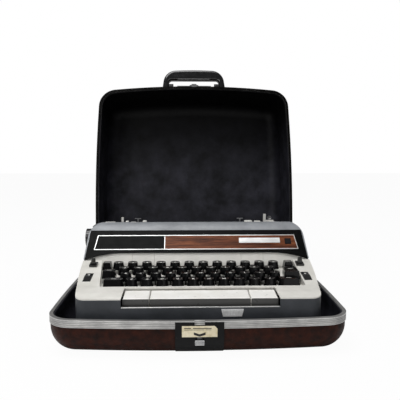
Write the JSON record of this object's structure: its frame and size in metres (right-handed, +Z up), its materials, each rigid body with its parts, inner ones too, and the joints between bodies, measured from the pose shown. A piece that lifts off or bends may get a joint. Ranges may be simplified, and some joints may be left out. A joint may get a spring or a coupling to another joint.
{
  "type": "portable electric typewriter",
  "caption": "Portable electric typewriter standing in the tray of its open carrying case, with a hinged lid, sliding carriage and moving keys.",
  "frame": {"origin": "centre of the case tray's flat bottom, on the surface that it stands on", "axes": "+X to the right as seen by the typist, +Y away from the typist towards the lid hinge, +Z up"},
  "size_m": [0.352, 0.4793, 0.3862],
  "materials": {
    "case_skin": "dark brown grained covering over a hard shell",
    "band": "satin, fine ribs along the band",
    "lining": "black lining",
    "lock_black": "satin black",
    "label": "blank cream label",
    "steel": "brushed",
    "bright": "bright",
    "black_gloss": "glossy black",
    "body_grey": "fine textured grey paint",
    "deck_white": "fine pebbled off-white paint",
    "key_black": "satin black",
    "space_white": "satin off-white",
    "rubber": "matt black",
    "wood_print": "printed dark wood grain",
    "white_part": "white",
    "dark_window": "smoked window",
    "motor_grey": "grey",
    "spool_black": "black"
  },
  "bodies": {
    "case_base": {"case_base_shell": "case_skin", "case_base_rim": "band", "case_base_liner": "lining", "lock_plate": "lock_black", "lock_plate_label": "label", "hinge_base_leaves": "steel"},
    "case_lid": {"case_lid_shell": "case_skin", "case_lid_rim": "band", "case_lid_liner": "lining", "hinge_lid_leaves": "steel", "latch_plate": "bright", "handle_brackets": "lock_black"},
    "machine": {"machine_base_pan": "body_grey", "machine_feet": "rubber", "keyboard_deck": "deck_white", "rear_housing": "body_grey", "chassis_frame": "steel", "drive_motor": "motor_grey", "drive_belt": "rubber", "power_inlet": "black_gloss", "front_badge": "bright"},
    "ribbon_cover": {"ribbon_cover": "body_grey", "nameplate_panel": "black_gloss", "nameplate_trim": "bright", "woodgrain_insert": "wood_print", "pilot_window": "dark_window"},
    "carriage": {"carriage_frame": "steel", "paper_table": "steel"},
    "platen": {"platen_roller": "rubber", "platen_knobs": "black_gloss"},
    "backspace_key": {"backspace_key": "key_black"},
    "case_handle": {"case_handle": "black_gloss"},
    "half_space_button": {"half_space_button": "space_white"},
    "home_row_keys": {"home_row_keys": "key_black"},
    "latch_slide": {"latch_slide": "bright"},
    "left_ribbon_spool": {"left_ribbon_spool": "spool_black"},
    "left_shift_key": {"left_shift_key": "key_black"},
    "left_tab_button": {"left_tab_button": "key_black"},
    "line_space_selector": {"line_space_selector": "white_part"},
    "lower_row_keys": {"lower_row_keys": "key_black"},
    "margin_release_key": {"margin_release_key": "key_black"},
    "motor_pulley": {"motor_pulley": "steel"},
    "number_row_keys": {"number_row_keys": "key_black"},
    "paper_bail": {"paper_bail": "steel"},
    "paper_release_lever": {"paper_release_lever": "white_part"},
    "power_roll": {"power_roll": "rubber"},
    "power_space_button": {"power_space_button": "space_white"},
    "power_switch": {"power_switch": "black_gloss"},
    "release_tab": {"release_tab": "bright"},
    "return_key": {"return_key": "key_black"},
    "ribbon_selector": {"ribbon_selector": "black_gloss"},
    "right_ribbon_spool": {"right_ribbon_spool": "spool_black"},
    "right_shift_key": {"right_shift_key": "key_black"},
    "right_tab_button": {"right_tab_button": "key_black"},
    "shift_lock_key": {"shift_lock_key": "key_black"},
    "space_bar": {"space_bar": "space_white"},
    "stencil_selector": {"stencil_selector": "black_gloss"},
    "touch_switch": {"touch_switch": "black_gloss"},
    "type_basket": {"type_basket": "steel"},
    "upper_row_keys": {"upper_row_keys": "key_black"}
  },
  "joints": [
    {"name": "case_lid_hinge", "type": "hinge", "parent": "case_base", "child": "case_lid", "pos_m": [0, 0.1594, 0.044], "axis": [-1, 0, 0], "range_deg": [-102.7, 0]},
    {"name": "machine_lift_out", "type": "slide", "parent": "case_base", "child": "machine", "axis": [0, 0, -1], "range_m": [-0.3, 0]},
    {"name": "ribbon_cover_hinge", "type": "hinge", "parent": "machine", "child": "ribbon_cover", "pos_m": [0, 0.0295, 0.118], "axis": [-1, 0, 0], "range_deg": [0, 50]},
    {"name": "carriage_slide", "type": "slide", "parent": "machine", "child": "carriage", "axis": [1, 0, 0], "range_m": [-0.115, 0.115]},
    {"name": "platen_turn", "type": "hinge", "parent": "carriage", "child": "platen", "pos_m": [-0.004, 0.0525, 0.101], "axis": [1, 0, 0], "continuous": true},
    {"name": "paper_bail_hinge", "type": "hinge", "parent": "carriage", "child": "paper_bail", "pos_m": [0, 0.07, 0.1195], "axis": [-1, 0, 0], "range_deg": [0, 60]},
    {"name": "paper_release_hinge", "type": "hinge", "parent": "carriage", "child": "paper_release_lever", "pos_m": [0.107, 0.07, 0.1187], "axis": [-1, 0, 0], "range_deg": [0, 18]},
    {"name": "line_space_hinge", "type": "hinge", "parent": "carriage", "child": "line_space_selector", "pos_m": [-0.113, 0.07, 0.1187], "axis": [1, 0, 0], "range_deg": [-10, 10]},
    {"name": "case_handle_hinge", "type": "hinge", "parent": "case_lid", "child": "case_handle", "pos_m": [0, 0.2577, 0.35284], "axis": [-1, 0, 0], "range_deg": [0, 80]},
    {"name": "latch_slide_joint", "type": "slide", "parent": "case_lid", "child": "latch_slide", "axis": [1, 0, 0], "range_m": [0, 0.006], "stiffness_N_per_m": 150, "springref_m": -0.001},
    {"name": "release_tab_slide", "type": "slide", "parent": "case_base", "child": "release_tab", "axis": [0, -0.309, 0.9511], "range_m": [0, 0.0045], "stiffness_N_per_m": 200, "springref_m": -0.001},
    {"name": "type_basket_shift", "type": "slide", "parent": "machine", "child": "type_basket", "axis": [0, 0, -1], "range_m": [0, 0.0055], "stiffness_N_per_m": 600, "springref_m": -0.006},
    {"name": "number_row_keys_press", "type": "hinge", "parent": "machine", "child": "number_row_keys", "pos_m": [0, 0.062, 0.0335], "axis": [1, 0, 0], "range_deg": [0, 2.58], "stiffness_Nm_per_rad": 5, "springref_deg": -5.73},
    {"name": "upper_row_keys_press", "type": "hinge", "parent": "machine", "child": "upper_row_keys", "pos_m": [0, 0.062, 0.0335], "axis": [1, 0, 0], "range_deg": [0, 2.11], "stiffness_Nm_per_rad": 5, "springref_deg": -5.73},
    {"name": "home_row_keys_press", "type": "hinge", "parent": "machine", "child": "home_row_keys", "pos_m": [0, 0.062, 0.0335], "axis": [1, 0, 0], "range_deg": [0, 1.79], "stiffness_Nm_per_rad": 5, "springref_deg": -5.73},
    {"name": "lower_row_keys_press", "type": "hinge", "parent": "machine", "child": "lower_row_keys", "pos_m": [0, 0.062, 0.0335], "axis": [1, 0, 0], "range_deg": [0, 1.55], "stiffness_Nm_per_rad": 5, "springref_deg": -5.73},
    {"name": "space_bar_press", "type": "hinge", "parent": "machine", "child": "space_bar", "pos_m": [0, -0.04, 0.022], "axis": [1, 0, 0], "range_deg": [0, 3.77], "stiffness_Nm_per_rad": 1.2, "springref_deg": -8.59},
    {"name": "margin_release_key_press", "type": "hinge", "parent": "machine", "child": "margin_release_key", "pos_m": [0, 0.062, 0.0335], "axis": [1, 0, 0], "range_deg": [0, 2.58], "stiffness_Nm_per_rad": 0.6, "springref_deg": -5.73},
    {"name": "backspace_key_press", "type": "hinge", "parent": "machine", "child": "backspace_key", "pos_m": [0, 0.062, 0.0335], "axis": [1, 0, 0], "range_deg": [0, 2.58], "stiffness_Nm_per_rad": 0.6, "springref_deg": -5.73},
    {"name": "shift_lock_key_press", "type": "hinge", "parent": "machine", "child": "shift_lock_key", "pos_m": [0, 0.062, 0.0335], "axis": [1, 0, 0], "range_deg": [0, 1.94], "stiffness_Nm_per_rad": 0.6, "springref_deg": -5.73},
    {"name": "return_key_press", "type": "hinge", "parent": "machine", "child": "return_key", "pos_m": [0, 0.062, 0.0335], "axis": [1, 0, 0], "range_deg": [0, 1.94], "stiffness_Nm_per_rad": 0.6, "springref_deg": -5.73},
    {"name": "left_shift_key_press", "type": "hinge", "parent": "machine", "child": "left_shift_key", "pos_m": [0, 0.062, 0.0335], "axis": [1, 0, 0], "range_deg": [0, 1.55], "stiffness_Nm_per_rad": 0.6, "springref_deg": -5.73},
    {"name": "right_shift_key_press", "type": "hinge", "parent": "machine", "child": "right_shift_key", "pos_m": [0, 0.062, 0.0335], "axis": [1, 0, 0], "range_deg": [0, 1.55], "stiffness_Nm_per_rad": 0.6, "springref_deg": -5.73},
    {"name": "half_space_button_press", "type": "hinge", "parent": "machine", "child": "half_space_button", "pos_m": [0, -0.04, 0.022], "axis": [1, 0, 0], "range_deg": [0, 3.77], "stiffness_Nm_per_rad": 0.6, "springref_deg": -8.59},
    {"name": "power_space_button_press", "type": "hinge", "parent": "machine", "child": "power_space_button", "pos_m": [0, -0.04, 0.022], "axis": [1, 0, 0], "range_deg": [0, 3.77], "stiffness_Nm_per_rad": 0.6, "springref_deg": -8.59},
    {"name": "left_tab_button_press", "type": "slide", "parent": "machine", "child": "left_tab_button", "axis": [0, 0.9063, -0.4226], "range_m": [0, 0.0025], "stiffness_N_per_m": 300, "springref_m": -0.001},
    {"name": "right_tab_button_press", "type": "slide", "parent": "machine", "child": "right_tab_button", "axis": [0, 0.9063, -0.4226], "range_m": [0, 0.0025], "stiffness_N_per_m": 300, "springref_m": -0.001},
    {"name": "ribbon_selector_slide", "type": "slide", "parent": "machine", "child": "ribbon_selector", "axis": [0, 0.9847, 0.1743], "range_m": [-0.004, 0.004]},
    {"name": "stencil_selector_slide", "type": "slide", "parent": "machine", "child": "stencil_selector", "axis": [0, 0.9847, 0.1743], "range_m": [-0.004, 0.004]},
    {"name": "touch_switch_rock", "type": "hinge", "parent": "machine", "child": "touch_switch", "pos_m": [-0.1386, -0.06948, 0.06847], "axis": [1, 0, 0], "range_deg": [-6, 6]},
    {"name": "power_switch_rock", "type": "hinge", "parent": "machine", "child": "power_switch", "pos_m": [0.1386, -0.06948, 0.06847], "axis": [1, 0, 0], "range_deg": [-6, 6]},
    {"name": "left_ribbon_spool_turn", "type": "hinge", "parent": "machine", "child": "left_ribbon_spool", "pos_m": [-0.0975, 0.0095, 0.062], "axis": [0, 0, 1], "continuous": true},
    {"name": "right_ribbon_spool_turn", "type": "hinge", "parent": "machine", "child": "right_ribbon_spool", "pos_m": [0.0975, 0.0095, 0.062], "axis": [0, 0, 1], "continuous": true},
    {"name": "power_roll_turn", "type": "hinge", "parent": "machine", "child": "power_roll", "pos_m": [0, 0.078, 0.025], "axis": [1, 0, 0], "continuous": true},
    {"name": "motor_pulley_turn", "type": "hinge", "parent": "machine", "child": "motor_pulley", "pos_m": [0, 0.105, 0.048], "axis": [1, 0, 0], "continuous": true}
  ],
  "couplings": [
    {"joint": "left_shift_key_press", "follows": "type_basket_shift", "rad_per_m": 4.909},
    {"joint": "right_shift_key_press", "follows": "type_basket_shift", "rad_per_m": 4.909},
    {"joint": "shift_lock_key_press", "follows": "type_basket_shift", "rad_per_m": 6.14},
    {"joint": "motor_pulley_turn", "follows": "power_roll_turn", "ratio": 0.88889}
  ]
}
